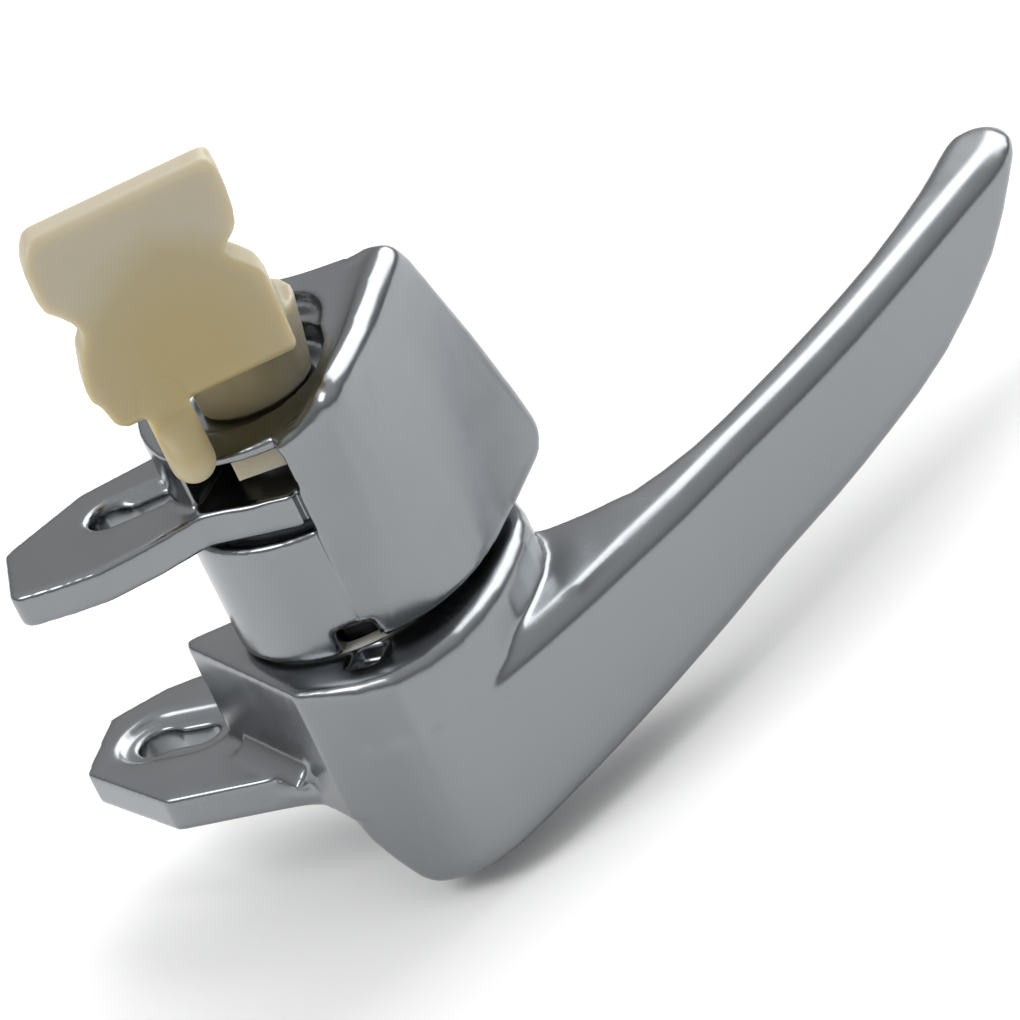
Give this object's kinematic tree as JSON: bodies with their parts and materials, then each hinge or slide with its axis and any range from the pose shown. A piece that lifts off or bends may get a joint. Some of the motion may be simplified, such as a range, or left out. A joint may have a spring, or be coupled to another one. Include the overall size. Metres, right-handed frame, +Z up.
{
  "type": "car interior door handle",
  "caption": "Chromed pull lever on an upright pivot under a cast housing, with a slotted mounting ear, a slotted crank ear for the latch rod and a nylon lock lever on top.",
  "frame": {"origin": "on the pad under the mounting ear, where the handle rests on its bracket, 24.5 mm out and 14.5 mm forward of the pivot axis", "axes": "+Z up along the pivot, +X into the cabin, +Y along the door towards the tip of the arm"},
  "size_m": [0.0936, 0.1087, 0.0834],
  "materials": {
    "chrome_casting": "mirror chrome plate on a die casting",
    "chrome_lever": "mirror chrome plate on a die casting, softer on the grip",
    "natural_nylon": "moulded natural nylon, slightly translucent",
    "pin_steel": "turned steel, dull",
    "spring_steel": "oil-blackened spring wire",
    "sleeve_steel": "bright zinc plate",
    "bush_nylon": "moulded white nylon"
  },
  "bodies": {
    "housing": {"housing": "chrome_casting", "pivot_pin": "pin_steel", "spacer_sleeve": "sleeve_steel", "return_spring": "spring_steel", "thrust_washer": "bush_nylon", "wave_washer": "spring_steel", "plain_washer": "sleeve_steel", "retaining_ring": "spring_steel"},
    "pull_lever": {"pull_lever": "chrome_lever", "deck_bush": "bush_nylon", "lower_bush": "bush_nylon"},
    "lock_lever": {"lock_lever": "natural_nylon", "lock_finger": "natural_nylon"}
  },
  "joints": [
    {"name": "lever_swing", "type": "hinge", "parent": "housing", "child": "pull_lever", "pos_m": [0.0245, 0.0145, -0.0156], "axis": [0, 0, -1], "range_deg": [0, 35], "stiffness_Nm_per_rad": 0.6, "deforming": ["return_spring"]},
    {"name": "lock_turn", "type": "hinge", "parent": "housing", "child": "lock_lever", "pos_m": [0.0245, 0.0145, 0.0104], "axis": [0, 0, 1], "range_deg": [-24, 0]}
  ]
}
